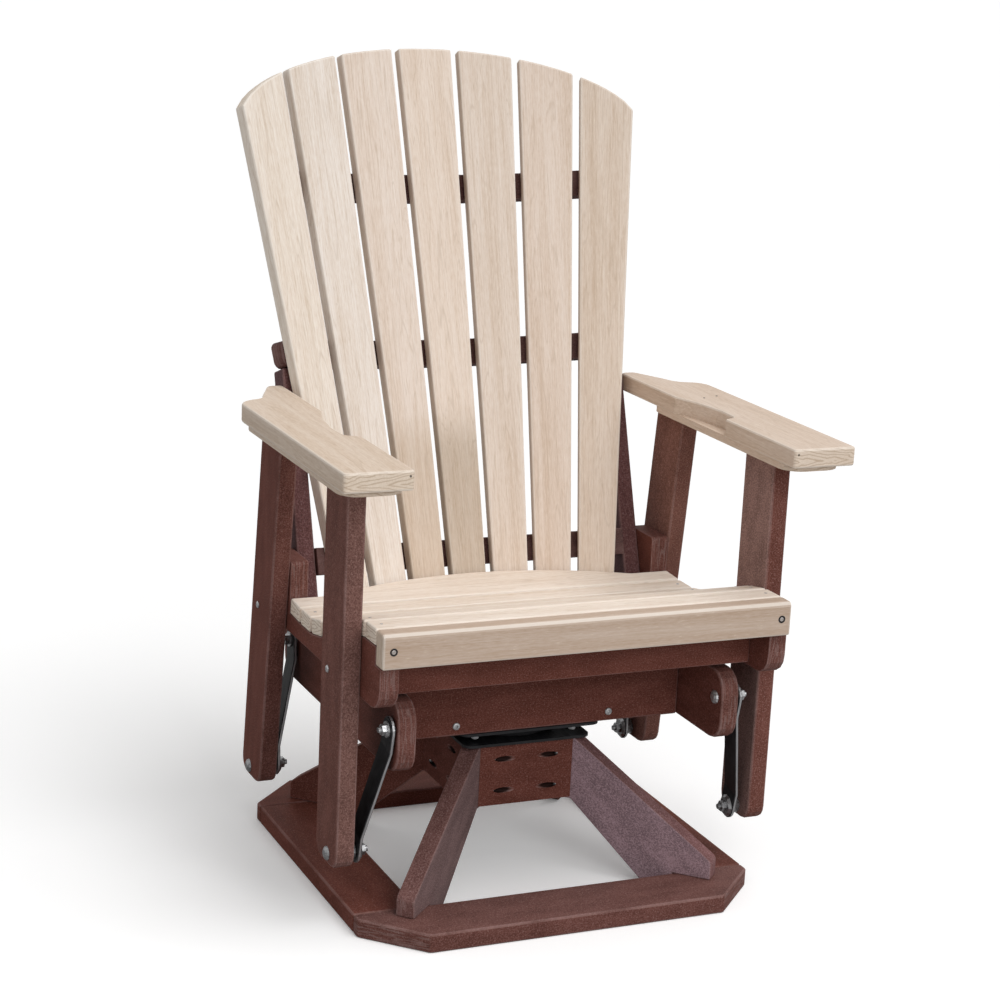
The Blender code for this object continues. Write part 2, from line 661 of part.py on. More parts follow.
leg_w = POST_W / cos(REAR_LEG_LEAN)
leg_outline = rounded([
    (rear_leg_front(LEG_BOTTOM), LEG_BOTTOM, LEG_CORNER_R),
    (rear_leg_front(LEG_BOTTOM) + leg_w, LEG_BOTTOM, LEG_CORNER_R),
    (rear_leg_front(LEG_TOP) + leg_w, LEG_TOP, 0),
    (rear_leg_front(LEG_TOP), LEG_TOP, 0),
])
for hand, way in SIDES:
    middle = way * (LEG_IN + FRAME_T / 2)
    for name, outline, pivot_y in (
        ("front_post_" + hand, post_outline, FRONT_BOTTOM_Y),
        ("rear_leg_" + hand, leg_outline, REAR_BOTTOM_Y),
    ):
        made = board(name, outline, FRAME_T, brown_lumber, chair, side(middle))
        spot = (middle, pivot_y, BOTTOM_PIVOT_Z)
        hole(made, name + "_hole", PIN_R + RUN_GAP, spot, FRAME_T + 2 * CUT_OVERRUN, chair)

# Seat: narrow slats follow the seat's curve, and a wide one with an arched rear edge meets the back
arc_r = cone_radius(SEAT_TOP - SEAT_DIP) - SEAT_BACK_GAP
arc_end_x = UPRIGHT_IN - REAR_SLAT_STEP
seat_end_y = CONE_Y + sqrt(arc_r ** 2 - arc_end_x ** 2)
rear_slat_y = seat_end_y - REAR_SLAT_END_W
fascia_back = SEAT_FRONT_Y + FRAME_T
first_slat_y = fascia_back + FASCIA_GAP


def along_seat(y, distance):
    """The place on the seat's curve at this straight distance behind y."""
    low, high = y, y + distance
    for _ in range(40):
        middle = (low + high) / 2
        if hypot(middle - y, seat_height(middle) - seat_height(y)) < distance:
            low = middle
        else:
            high = middle
    return high


def slat_places(width):
    places = []
    y = first_slat_y
    for _ in range(SEAT_SLATS):
        rear = along_seat(y, width)
        places.append((y, rear))
        y = along_seat(rear, SEAT_SLAT_GAP)
    return places, y


narrow, wide = SEAT_SLAT_GAP, rear_slat_y - first_slat_y
for _ in range(40):
    slat_w = (narrow + wide) / 2
    if slat_places(slat_w)[1] < rear_slat_y:
        narrow = slat_w
    else:
        wide = slat_w
underside = []
seat_places = slat_places(slat_w)[0]
for index, (front, rear) in enumerate(seat_places):
    run = Vector((0, rear - front, seat_height(rear) - seat_height(front))).normalized()
    up = Vector((1, 0, 0)).cross(run)
    centre = Vector((0, (front + rear) / 2, (seat_height(front) + seat_height(rear)) / 2)) - up * SEAT_SLAT_T / 2
    outline = box_outline(-SEAT_HALF, SEAT_HALF, -slat_w / 2, slat_w / 2)
    name = "seat_slat_" + str(index + 1)
    board(name, outline, SEAT_SLAT_T, tan_lumber, chair, facing((1, 0, 0), run, centre))
    for y in (front, rear):
        corner = Vector((0, y, seat_height(y))) - up * (SEAT_SLAT_T + SEAT_GAP)
        underside.append((corner.y, corner.z))

run = Vector((0, 1, SEAT_REAR_SLOPE)).normalized()
up = Vector((1, 0, 0)).cross(run)
start = Vector((0, rear_slat_y, seat_height(rear_slat_y)))
end_s = REAR_SLAT_END_W / run.y
arc_steps = 2 * ceil(asin(arc_end_x / arc_r) / ARC_STEP * 4)
outline = [(-SEAT_HALF, 0), (SEAT_HALF, 0), (SEAT_HALF, end_s)]
for k in range(arc_steps + 1):
    x = arc_end_x * (1 - 2 * k / arc_steps)
    outline.append((x, (CONE_Y + sqrt(arc_r ** 2 - x ** 2) - rear_slat_y) / run.y))
outline.append((-SEAT_HALF, end_s))
board("seat_slat_rear", outline, SEAT_SLAT_T, tan_lumber, chair, facing((1, 0, 0), run, start - up * SEAT_SLAT_T / 2))
drop = up * (SEAT_SLAT_T + SEAT_GAP)
for s in (0, end_s + BLOCK_GAP / run.y):
    corner = start + run * s - drop
    underside.append((corner.y, corner.z))

fascia_bottom = SEAT_TOP - FASCIA_H
outline = rounded([
    (SEAT_FRONT_Y, fascia_bottom, 0),
    (fascia_back, fascia_bottom, 0),
    (fascia_back, SEAT_TOP, 0),
    (SEAT_FRONT_Y, SEAT_TOP, FASCIA_ROUND),
])
board("seat_fascia", outline, 2 * SEAT_HALF, tan_lumber, chair, side(0))

# Stringers: the slats rest on their stepped top edge, the fascia in the notch at the nose
notch_y = fascia_back + SEAT_GAP
notch_z = fascia_bottom - SEAT_GAP
block_y = underside[-1][0]
block_z = STRINGER_BOTTOM + STRINGER_BLOCK_RISE
nose_y = SEAT_FRONT_Y + STRINGER_NOSE
corners = [
    (nose_y, STRINGER_BOTTOM, STRINGER_NOSE_R),
    (STRINGER_REAR_Y, STRINGER_BOTTOM, BLOCK_R),
    (STRINGER_REAR_Y, block_z, BLOCK_R),
    (block_y, block_z, BLOCK_R),
    (block_y, underside[-1][1], 0),
]
corners += [(y, z, 0) for y, z in reversed(underside[:-1])]
corners += [(notch_y, underside[0][1], 0), (notch_y, notch_z, 0), (nose_y, notch_z, 0)]
stringer_outline = rounded(corners)
for hand, way in SIDES:
    middle = way * (SEAT_HALF - FRAME_T / 2)
    board("seat_stringer_" + hand, stringer_outline, FRAME_T, brown_lumber, chair, side(middle), EDGE_R / 2)

apron_front = SEAT_FRONT_Y + APRON_INSET
apron_back = apron_front + FRAME_T


def underside_height(y):
    """Height of the stringers' top edge at this place."""
    for (y0, z0), (y1, z1) in zip(underside, underside[1:]):
        if y0 <= y <= y1:
            return z0 + (z1 - z0) * (y - y0) / (y1 - y0)
    return underside[0][1]


apron_top = min(underside_height(apron_front + FRAME_T * k / 8) for k in range(9))
apron_half = STRINGER_IN - SEAT_GAP
outline = box_outline(-apron_half, apron_half, RAIL_TOP + APRON_RISE, apron_top)
matrix = facing((1, 0, 0), (0, 0, 1), (0, (apron_front + apron_back) / 2, 0))
board("front_apron", outline, FRAME_T, brown_lumber, chair, matrix, EDGE_R / 2)

# Back slats: flat planks on the cone, wider at the top, under one crown line


def crown_height(x):
    return BACK_TOP - CROWN_DROP * (1 - sqrt(max(0, 1 - (x / CROWN_HALF) ** 2)))


def cone_point(angle, z):
    """A place on the cone of the slats' front faces."""
    radius = cone_radius(z)
    return Vector((radius * sin(angle), CONE_Y + radius * cos(angle), z))


middle_slat = (BACK_SLATS - 1) / 2
for index in range(BACK_SLATS):
    angle = (index - middle_slat) * FAN_STEP
    foot = cone_point(angle, BACK_FOOT)
    head = cone_point(angle, BACK_TOP)
    up = (head - foot).normalized()
    across = Vector((cos(angle), -sin(angle), 0))
    outline = [(-BACK_SLAT_W / 2, 0), (BACK_SLAT_W / 2, 0)]
    for k in range(CROWN_STEPS + 1):
        share = 1 - 2 * k / CROWN_STEPS
        reach = (head - foot).length
        for _ in range(12):
            half = (BACK_SLAT_W + (BACK_TOP_W - BACK_SLAT_W) * reach / (head - foot).length) / 2
            x = (foot + up * reach + across * share * half).x
            reach = (crown_height(x) - foot.z) / up.z
        outline.append((share * half, reach))
    normal = across.cross(up)
    matrix = facing(across, up, foot - normal * BACK_SLAT_T / 2)
    board("back_slat_" + str(index + 1), outline, BACK_SLAT_T, tan_lumber, chair, matrix)


def batten_section(z, inset=0.0):
    """The four corners (plan radius, height) of a batten whose lower front edge is at this height.

    The inset is taken off its lower and upper edges.
    """
    start = Vector((cone_radius(z) + SLAT_FLAT_T + BACK_SAG + SEAT_GAP, z))
    rise = Vector((BACK_SLOPE, 1)).normalized()
    thick = Vector((1, -BACK_SLOPE)).normalized() * BATTEN_T
    low = start + rise * inset
    high = start + rise * (BATTEN_H - inset)
    return low, high, high + thick, low + thick


def batten_data(z, half, square_ends):
    """A band bent round the back of the slats: its section leans with them and rises along them to both ends."""
    data = bmesh.new()
    outer_r = batten_section(z)[2].x
    outer_angle = asin(half / outer_r)
    steps = 2 * ceil(outer_angle / CONE_STEP)
    stations = [(outer_angle * (2 * k / steps - 1), 0) for k in range(steps + 1)]
    if not square_ends:
        turns = ceil(pi / 2 / ARC_STEP)
        arc = []
        for k in range(turns + 1):
            turn = pi / 2 * k / turns
            short = BATTEN_END_R * (1 - sin(turn)) / outer_r
            arc.append((outer_angle - short, BATTEN_END_R * (1 - cos(turn))))
        stations = [(-angle, inset) for angle, inset in reversed(arc)] + stations[1:-1] + arc
    rings = []
    for place, inset in stations:
        ring = []
        for radius, height in batten_section(z + batten_lift(z, place), inset):
            angle = place / outer_angle * asin(half / radius) if square_ends else place
            ring.append(data.verts.new((radius * sin(angle), radius * cos(angle), height)))
        rings.append(ring)
    for first, second in zip(rings, rings[1:]):
        for k in range(4):
            j = (k + 1) % 4
            data.faces.new((first[k], first[j], second[j], second[k]))
    data.faces.new(rings[0])
    data.faces.new(rings[-1][::-1])
    bmesh.ops.recalc_face_normals(data, faces=data.faces)
    return data


for name, z, half, square_ends in (
    ("batten_lower", STRINGER_BOTTOM + LOWER_BATTEN_RISE, UPRIGHT_IN - SEAT_GAP, True),
    ("batten_middle", MIDDLE_BATTEN_Z, MIDDLE_BATTEN_HALF, False),
    ("batten_top", TOP_BATTEN_Z, TOP_BATTEN_HALF, False),
):
    made = solid(name, batten_data(z, half, square_ends), brown_lumber, chair, from_axis(plan((0, CONE_Y, 0))))
    round_edges(made, FINE_EDGE_R if square_ends else EDGE_R)


# Uprights: they carry the back from the stringers up to the middle batten
def batten_underside(x, y):
    """Height of the middle batten's lower face over this place."""
    edge = batten_section(MIDDLE_BATTEN_Z + batten_lift(MIDDLE_BATTEN_Z, atan2(x, y - CONE_Y)))[0]
    return edge.y - BACK_SLOPE * max(0, hypot(x, y - CONE_Y) - edge.x)


upright_w = UPRIGHT_W / cos(RECLINE)
upright_foot = RAIL_TOP + APRON_RISE
top_drop = UPRIGHT_W * sin(RECLINE)
top_run = UPRIGHT_W * cos(RECLINE)
top_z = MIDDLE_BATTEN_Z
for _ in range(12):
    start_y = upright_front(top_z)
    room = [
        batten_underside(x, start_y + run) + BACK_SLOPE * run
        for x in (UPRIGHT_IN, UPRIGHT_OUT)
        for run in (0, BATTEN_T / 2, BATTEN_T)
    ]
    top_z = min(room) - SEAT_GAP
upright_outline = [
    (upright_front(upright_foot), upright_foot),
    (upright_front(upright_foot) + upright_w, upright_foot),
    (upright_front(top_z) + top_run, top_z - top_drop),
    (upright_front(top_z), top_z),
]
for hand, way in SIDES:
    middle = way * (UPRIGHT_OUT - FRAME_T / 2)
    board("back_upright_" + hand, upright_outline, FRAME_T, brown_lumber, chair, side(middle))

# Arms, each with the thin cleat under it that the legs meet
arm_front = SEAT_FRONT_Y - ARM_OVERHANG
arm_length = upright_front(ARM_TOP - ARM_T) + TAIL_LAP + EDGE_R - arm_front
for hand, way in SIDES:
    corners = [
        (way * (ARM_IN + across * ARM_W), arm_front + along * arm_length, radius * ARM_W)
        for across, along, radius in ARM_CORNER_SHARES
    ]
    made = board("arm_" + hand, rounded(corners), ARM_T, tan_lumber, chair, plan((0, 0, ARM_TOP - ARM_T / 2)))
    x0, x1 = sorted((way * (ARM_IN + CLEAT_INSET), way * (ARM_IN + ARM_W - CLEAT_SHORTFALL)))
    outline = box_outline(x0, x1, arm_front + CLEAT_FRONT, CLEAT_REAR_Y, CLEAT_R)
    depth = CLEAT_T + CLEAT_SINK
    cleat = board("cleat_" + hand, outline, depth, tan_lumber, chair, plan((0, 0, CLEAT_BOTTOM + depth / 2)), 0)
    cut(made, cleat, "UNION")
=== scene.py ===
"""Swivel glider with a fan back: lumber and steel materials, fasteners, floor, lights and camera.

Metres, +Z up, the front faces -Y. Places below are about the swivel axis, and heights start at the floor.
Colours are linear.
"""

from math import atan2, cos, pi, radians, sin

import bmesh
import bpy
from mathutils import Matrix, Vector
from mathutils.bvhtree import BVHTree


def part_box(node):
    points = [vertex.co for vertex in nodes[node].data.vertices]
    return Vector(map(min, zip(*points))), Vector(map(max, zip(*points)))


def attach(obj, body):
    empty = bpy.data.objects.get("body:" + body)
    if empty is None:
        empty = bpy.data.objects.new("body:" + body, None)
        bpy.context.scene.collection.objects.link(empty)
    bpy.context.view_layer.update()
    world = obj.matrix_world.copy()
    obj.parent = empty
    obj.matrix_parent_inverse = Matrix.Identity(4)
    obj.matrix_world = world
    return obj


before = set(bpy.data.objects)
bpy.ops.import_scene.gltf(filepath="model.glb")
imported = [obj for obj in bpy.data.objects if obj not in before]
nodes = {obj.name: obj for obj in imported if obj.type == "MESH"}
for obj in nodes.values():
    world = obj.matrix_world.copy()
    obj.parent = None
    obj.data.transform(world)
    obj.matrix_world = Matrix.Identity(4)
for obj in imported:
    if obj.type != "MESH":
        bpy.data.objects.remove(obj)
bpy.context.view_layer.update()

# Where the swivel axis stands in plan
AXIS = Vector((0, -0.062465, 0))

# Faces of the CAD model that the fasteners go on, and where lines that look for a face start
BEAM_FACE = 0.112
LEG_OUT = 0.3417
FASCIA_FRONT = -0.2983
PLATE_BOTTOM = 0.2357
ABOVE_ALL = 1.0  # higher than the seat and the arms
BEHIND_ALL = 1.0

# Places of the fasteners
BEAM_SCREW_X, BEAM_SCREW_Z = 0.123, 0.255
PLATE_BOLT_X, PLATE_BOLT_Y = 0.079, 0.081
FASCIA_SCREW_Z = 0.441
SEAT_SCREW_X = 0.298
ARM_SCREWS = ((0.326, 0.028), (0.353, 0.038))
LEG_BOLT_Y, LEG_BOLT_Z = (-0.161, 0.155), 0.378
ARM_PIN_X, ARM_PIN_Z = 0.292, 0.6885
HEAD_TURN = 0.7  # from each head's recess to the next one's, in radians

# The hub boards' slanted screw pockets
HUB_MIDDLE = 0.1655
POCKET_X, POCKET_Y = 0.0538, 0.0909
POCKET_SPREAD = 0.0245  # above and below the middle of the hub
POCKET_TILT = radians(15)
POCKET_SCREW_SINK = 0.0015

# The cone of the back, and the bent battens on it
BACK_CURVE_R, BACK_SLOPE, BACK_FOOT = 0.5885, 0.3502, 0.400
BACK_SLATS = 7
SEAT_SLATS = 7
SLAT_STEP = 0.116386
BATTEN_LEAN = 0.32
BATTEN_MIDDLE = 0.019  # above a batten's lowest point

# ---------------------------------------------------------------- camera

YAW, PITCH, ROLL = 0.419, 0.247, 0.049
LENS, SENSOR = 85.81, 36.0
CAMERA_PLACE = Vector((-1.41465, -3.12920, 1.42497))

camera_data = bpy.data.cameras.new("camera")
camera_data.lens = LENS
camera_data.sensor_width = SENSOR
camera = bpy.data.objects.new("camera", camera_data)
bpy.context.scene.collection.objects.link(camera)
ahead = Vector((sin(YAW) * cos(PITCH), cos(YAW) * cos(PITCH), -sin(PITCH)))
level = Vector((cos(YAW), -sin(YAW), 0.0))
rise = level.cross(ahead)
right = cos(ROLL) * level + sin(ROLL) * rise
up = -sin(ROLL) * level + cos(ROLL) * rise
turn = Matrix((right, up, -ahead)).transposed().to_4x4()
camera.matrix_world = Matrix.Translation(CAMERA_PLACE + AXIS) @ turn
bpy.context.scene.camera = camera


# ---------------------------------------------------------------- shader helpers


class Shader:
    """A material under construction."""

    def __init__(self, name):
        self.material = bpy.data.materials.new(name)
        self.material.use_nodes = True
        self.tree = self.material.node_tree
        self.tree.nodes.clear()
        self.surface = self.add("ShaderNodeBsdfPrincipled")
        output = self.add("ShaderNodeOutputMaterial")
        self.join(self.surface.outputs[0], output.inputs["Surface"])

    def add(self, kind, **settings):
        made = self.tree.nodes.new(kind)
        for key, value in settings.items():
            setattr(made, key, value)
        return made

    def join(self, source, target):
        self.tree.links.new(source, target)

    def put(self, socket, value):
        """Links a socket, or sets a plain value."""
        if isinstance(value, bpy.types.NodeSocket):
            self.join(value, socket)
        else:
            socket.default_value = value

    def math(self, operation, a, b=0.0, c=0.0, clamp=False):
        made = self.add("ShaderNodeMath", operation=operation, use_clamp=clamp)
        for socket, value in zip(made.inputs, (a, b, c)):
            self.put(socket, value)
        return made.outputs[0]

    def total(self, *terms):
        """The sum of values, each times its share."""
        (first, share), *others = terms
        result = self.math("MULTIPLY", first, share)
        for value, share in others:
            result = self.math("MULTIPLY_ADD", value, share, result)
        return result

    def vector_math(self, operation, vector, constant):
        made = self.add("ShaderNodeVectorMath", operation=operation)
        self.join(vector, made.inputs[0])
        made.inputs[1].default_value = constant
        return made.outputs

    def dot(self, vector, direction):
        return self.vector_math("DOT_PRODUCT", vector, direction)["Value"]

    def parts(self, vector):
        made = self.add("ShaderNodeSeparateXYZ")
        self.join(vector, made.inputs[0])
        return made.outputs

    def noise(self, vector, cells, detail=2.0, roughness=0.5, distortion=0.0):
        """Noise with this many cells per metre on each of the vector's axes."""
        made = self.add("ShaderNodeTexNoise")
        self.join(self.vector_math("MULTIPLY", vector, cells)[0], made.inputs["Vector"])
        made.inputs["Scale"].default_value = 1.0
        made.inputs["Detail"].default_value = detail
        made.inputs["Roughness"].default_value = roughness
        made.inputs["Distortion"].default_value = distortion
        return made.outputs["Fac"]

    def spread(self, value, low, high, to_low=0.0, to_high=1.0):
        """The value stretched from one range to another, and held there."""
        made = self.add("ShaderNodeMapRange", interpolation_type="SMOOTHSTEP")
        for socket, number in zip(made.inputs, (value, low, high, to_low, to_high)):
            self.put(socket, number)
        return made.outputs[0]

    def ramp(self, value, tones, shade=(1.0, 1.0, 1.0)):
        """Tones are (place, colour). Shade is what every colour is multiplied by."""
        made = self.add("ShaderNodeValToRGB")
        self.join(value, made.inputs[0])
        points = made.color_ramp.elements
        while len(points) < len(tones):
            points.new(0.5)
        for point, (place, colour) in zip(points, tones):
            point.position = place
            point.color = (*(Vector(shade) * Vector(colour)), 1.0)
        return made.outputs[0]

    def mix(self, share, first, second, blend="MIX"):
        made = self.add("ShaderNodeMix", data_type="RGBA", blend_type=blend)
        self.put(made.inputs["Factor"], share)
        for socket, colour in ((made.inputs[6], first), (made.inputs[7], second)):
            self.put(socket, colour if isinstance(colour, bpy.types.NodeSocket) else (*colour, 1.0))
        return made.outputs[2]

    def bump(self, height, distance, strength=1.0):
        made = self.add("ShaderNodeBump")
        made.inputs["Strength"].default_value = strength
        made.inputs["Distance"].default_value = distance
        self.join(height, made.inputs["Height"])
        self.join(made.outputs[0], self.surface.inputs["Normal"])

    def finish(self, colour, roughness, metallic=0.0, specular=0.5):
        self.put(self.surface.inputs["Base Color"], colour)
        self.put(self.surface.inputs["Roughness"], roughness)
        self.put(self.surface.inputs["Metallic"], metallic)
        self.put(self.surface.inputs["Specular IOR Level"], specular)
        return self.material


# ---------------------------------------------------------------- boards

WELD = 1e-6
FLAT_JOINT = 0.999  # faces whose normals agree this well are one flat
SKEW_LIMIT = 0.03
BOARD_STRIDE = Vector((1.37, 0.53, 0.29))  # from one board's cut of the noise to the next one's
END_LEAN = (0.35, 0.70)  # how far along the grain a face looks where it starts, and is fully, a sawn end
EDGE_GAIN = 4.0  # lifts the mask's peak, on a corner at 45 degrees, to 1


def board_axes(mesh):
    """Unit directions along the grain, across it and through the board."""
    data = bmesh.new()
    data.from_mesh(mesh)
    bmesh.ops.remove_doubles(data, verts=data.verts, dist=WELD)
    data.normal_update()
    areas = {}
    for face in data.faces:
        normal = face.normal if max(face.normal, key=abs) > 0 else -face.normal
        key = tuple(round(n, 2) for n in normal)
        total, summed = areas.get(key, (0.0, Vector()))
        areas[key] = (total + face.calc_area(), summed + normal * face.calc_area())
    through = max(areas.values(), key=lambda entry: entry[0])[1].normalized()
    longest, along = 0.0, None
    for edge in data.edges:
        faces = edge.link_faces
        if len(faces) == 2 and faces[0].normal.dot(faces[1].normal) > FLAT_JOINT:
            continue
        run = edge.verts[1].co - edge.verts[0].co
        if run.length > longest and abs(run.normalized().dot(through)) < SKEW_LIMIT:
            longest, along = run.length, run.normalized()
    data.free()
    along = (along - through * along.dot(through)).normalized()
    return along, through.cross(along), through


def batten_axes():
    """The bent battens lean with the back, and their grain runs across it."""
    lean = atan2(BACK_SLOPE, 1.0)
    return Vector((1, 0, 0)), Vector((0, sin(lean), cos(lean))), Vector((0, -cos(lean), sin(lean)))


def board_shift(index):
    return BOARD_STRIDE * (index + 1)


def local_place(shader, axes, middle, index):
    """The place within a board with its own offset for each board, the normal, and the place at rest."""
    coordinates = shader.add("ShaderNodeTexCoord")
    mapping = shader.add("ShaderNodeMapping")
    matrix = Matrix(axes)
    mapping.inputs["Rotation"].default_value = matrix.to_euler()
    mapping.inputs["Location"].default_value = board_shift(index) - matrix @ middle
    shader.join(coordinates.outputs["Object"], mapping.inputs["Vector"])
    return mapping.outputs[0], coordinates.outputs["Normal"], coordinates.outputs["Object"]


def edge_mask(shader, normal, through):
    """1 on the rounded edges beside a board's broad faces, 0 on its flats."""
    lean = shader.dot(normal, through)
    square = shader.math("MULTIPLY", lean, lean)
    rest = shader.math("SUBTRACT", 1.0, square)
    return shader.math("MULTIPLY", shader.math("MULTIPLY", square, rest), EDGE_GAIN, clamp=True)


def end_mask(shader, normal, along):
    """1 where the face cuts across the grain."""
    lean = shader.math("ABSOLUTE", shader.dot(normal, along))
    return shader.spread(lean, *END_LEAN)


def from_middle(shader, part, offset):
    """How far a place lies to either side of the board's middle, on one axis."""
    return shader.math("ABSOLUTE", shader.math("SUBTRACT", part, offset))


def growth_lines(shader, value, count, width):
    """Thin contour lines of a noise."""
    wave = shader.math("PINGPONG", shader.math("MULTIPLY", value, count), 0.5)
    return shader.spread(wave, 0.0, width, 1.0, 0.0)


def own_entry(table, name):
    """The first entry of the table whose key the name starts with."""
    return next(entry for start, entry in table.items() if name.startswith(start))


# Noise cells per metre along the grain, across it and through the board
TAN_BAND = (2.2, 42, 42)
TAN_STREAK = (9, 420, 420)
TAN_FLECK = (75, 520, 520)
TAN_SWIRL = (18, 30, 60)
# Waves per metre of the end grain's chevrons, through the board and across it, and how the swirl bends them
CHEVRON_DEEP, CHEVRON_WIDE, CHEVRON_BEND = 200.0, 30.0, 2.4

TAN_TONES = (
    (0.36, (0.600, 0.472, 0.362)),
    (0.47, (0.680, 0.560, 0.455)),
    (0.54, (0.724, 0.612, 0.512)),
    (0.66, (0.780, 0.682, 0.592)),
)
TAN_GRAIN = (0.42, 0.30, 0.20)
TAN_SAWN = (0.79, 0.69, 0.57)
TAN_RING = (0.44, 0.32, 0.22)
TAN_DASH = (0.80, 0.70, 0.52)
TAN_EDGE_HIGHLIGHT = (0.90, 0.85, 0.78)
PIN_COLOUR = (0.030, 0.024, 0.020)
# How strongly each of those colours covers the tone at most
GRAIN_SHARE = 0.22
SAWN_SHARE = 0.35
RING_SHARE = 0.68
DASH_SHARE = 0.45
EDGE_HIGHLIGHT_SHARE = 0.60
PIN_SHARE = 0.85

# How much paler or darker single boards are than the rest. This is partly a tone that differs from board to
# board and partly painted light: the left back slats and the seat are paler for the stronger light on them,
# and the fascia is darker for the weaker light on its front
TAN_TONE_AND_PAINTED_LIGHT = {
    "back_slat_1": (1.16, 1.23, 1.30),
    "back_slat_2": (1.14, 1.21, 1.30),
    "back_slat_3": (1.09, 1.10, 1.14),
    "back_slat_4": (1.10, 1.10, 1.12),
    "back_slat_5": (1.06, 1.07, 1.10),
    "back_slat_6": (1.06, 1.05, 1.07),
    "back_slat_7": (1.01, 1.00, 1.00),
    "seat_slat": (1.18, 1.22, 1.27),
    "seat_fascia": (0.75, 0.69, 0.66),
    "arm_left": (0.97, 0.95, 0.93),
    "arm_right": (0.94, 0.90, 0.88),
}
# A painted shadow low on two back slats, standing in for a soft cast shadow: how much darker their feet are,
# and the heights between which that fades out
FOOT_PAINTED_SHADOWS = {"back_slat_3": (0.84, 0.81, 0.76), "back_slat_4": (0.75, 0.74, 0.71)}
FOOT_FULL_Z, FOOT_NONE_Z = 0.58, 0.67
# Where a pin's end shows in an arm's front, and its radius within a soft edge
ARM_PINS = {"arm_left": -ARM_PIN_X, "arm_right": ARM_PIN_X}
PIN_R, PIN_RIM_R = 0.0014, 0.0019


def tan_lumber(name, axes, middle, index):
    """Pale grained lumber: fine streaks along the board, swirled end grain, a painted highlight on the rounded
    edges, and a painted shadow low on two back slats.
    """
    shader = Shader("tan_lumber_" + name)
    place, normal, rest = local_place(shader, axes, middle, index)
    band = shader.noise(place, TAN_BAND, distortion=0.7)
    streak = shader.noise(place, TAN_STREAK, detail=3.0, roughness=0.6, distortion=0.3)
    fleck = shader.noise(place, TAN_FLECK, detail=3.0, roughness=0.65)
    swirl = shader.noise(place, TAN_SWIRL, roughness=0.45, distortion=0.6)
    edge = edge_mask(shader, normal, axes[2])
    end = end_mask(shader, normal, axes[0])

    tone = shader.total((streak, 0.32), (band, 0.30), (fleck, 0.38))
    # The board's tone, which also carries painted light
    colour = shader.ramp(tone, TAN_TONES, own_entry(TAN_TONE_AND_PAINTED_LIGHT, name))
    lines = growth_lines(shader, band, count=13.0, width=0.16)
    grain = shader.math("MULTIPLY", lines, shader.spread(end, 0.0, 1.0, GRAIN_SHARE, 0.0))
    colour = shader.mix(grain, colour, TAN_GRAIN)
    colour = shader.mix(shader.math("MULTIPLY", end, SAWN_SHARE), colour, TAN_SAWN)

    parts = shader.parts(place)
    depth = from_middle(shader, parts[2], board_shift(index).z)
    chevron = shader.total((parts[1], CHEVRON_WIDE), (depth, CHEVRON_DEEP), (swirl, CHEVRON_BEND))
    rings = shader.math("MULTIPLY", growth_lines(shader, chevron, count=1.0, width=0.28), end)
    colour = shader.mix(shader.math("MULTIPLY", rings, RING_SHARE), colour, TAN_RING)
    colour = shader.mix(shader.spread(fleck, 0.64, 0.74, to_high=DASH_SHARE), colour, TAN_DASH)
    # Painted highlight along the rounded edges
    colour = shader.mix(shader.math("MULTIPLY", edge, EDGE_HIGHLIGHT_SHARE), colour, TAN_EDGE_HIGHLIGHT)

    # Painted shadow on the feet of two back slats
    if name in FOOT_PAINTED_SHADOWS:
        share = shader.spread(shader.parts(rest)[2], FOOT_FULL_Z, FOOT_NONE_Z, 1.0, 0.0)
        colour = shader.mix(share, colour, FOOT_PAINTED_SHADOWS[name], "MULTIPLY")
    if name in ARM_PINS:
        facing = shader.vector_math("MULTIPLY", rest, (1.0, 0.0, 1.0))[0]
        away = shader.vector_math("DISTANCE", facing, (ARM_PINS[name], 0.0, ARM_PIN_Z))["Value"]
        pin = shader.spread(away, PIN_R, PIN_RIM_R, PIN_SHARE, 0.0)
        colour = shader.mix(shader.math("MULTIPLY", pin, end), colour, PIN_COLOUR)

    height = shader.total((fleck, 0.4), (streak, 0.6), (shader.math("MAXIMUM", grain, rings), -0.35))
    shader.bump(height, distance=0.0005, strength=0.5)
    rough = shader.spread(streak, 0.3, 0.7, to_low=0.44, to_high=0.62)
    return shader.finish(colour, rough, specular=0.12)


BROWN_CLOUD = (14, 40, 40)
BROWN_GRIT = (440, 540, 540)
BROWN_FINE = (1300, 1500, 1500)
BROWN_LAYER = (14, 10, 130)

BROWN_TONES = (
    (0.38, (0.092, 0.0265, 0.0175)),
    (0.50, (0.148, 0.0460, 0.0320)),
    (0.62, (0.205, 0.0690, 0.0510)),
)
BROWN_PIT = (0.050, 0.016, 0.012)
BLOOM_AND_SHEEN_RANGE = (0.62, 1.36)  # the darkest and palest tone of the bloom and painted sheen, as shares of its colour
SPECK_GAIN, SPECK_LIFT = 1.3, 0.12  # how much paler than the bloom and sheen colour its specks are
SPECK_SHARE = 0.32
PIT_SHARE = 0.40
LINES_SHARE = 0.30
BROWN_LINES = (0.330, 0.240, 0.225)
# Worn edges, which are also a painted highlight along the rounded edges
BROWN_WEAR_AND_HIGHLIGHT = (0.340, 0.225, 0.210)
# Painted shade inside the hub boards' screw pockets
POCKET_PAINTED_SHADE = (0.012, 0.005, 0.004)
POCKET_SHARE = 0.96
POCKET_DEEP, POCKET_LIP = 0.0112, 0.0136  # from the middle of a hub board towards its face
POCKET_HALF_H, POCKET_RIM_H = 0.005, 0.007

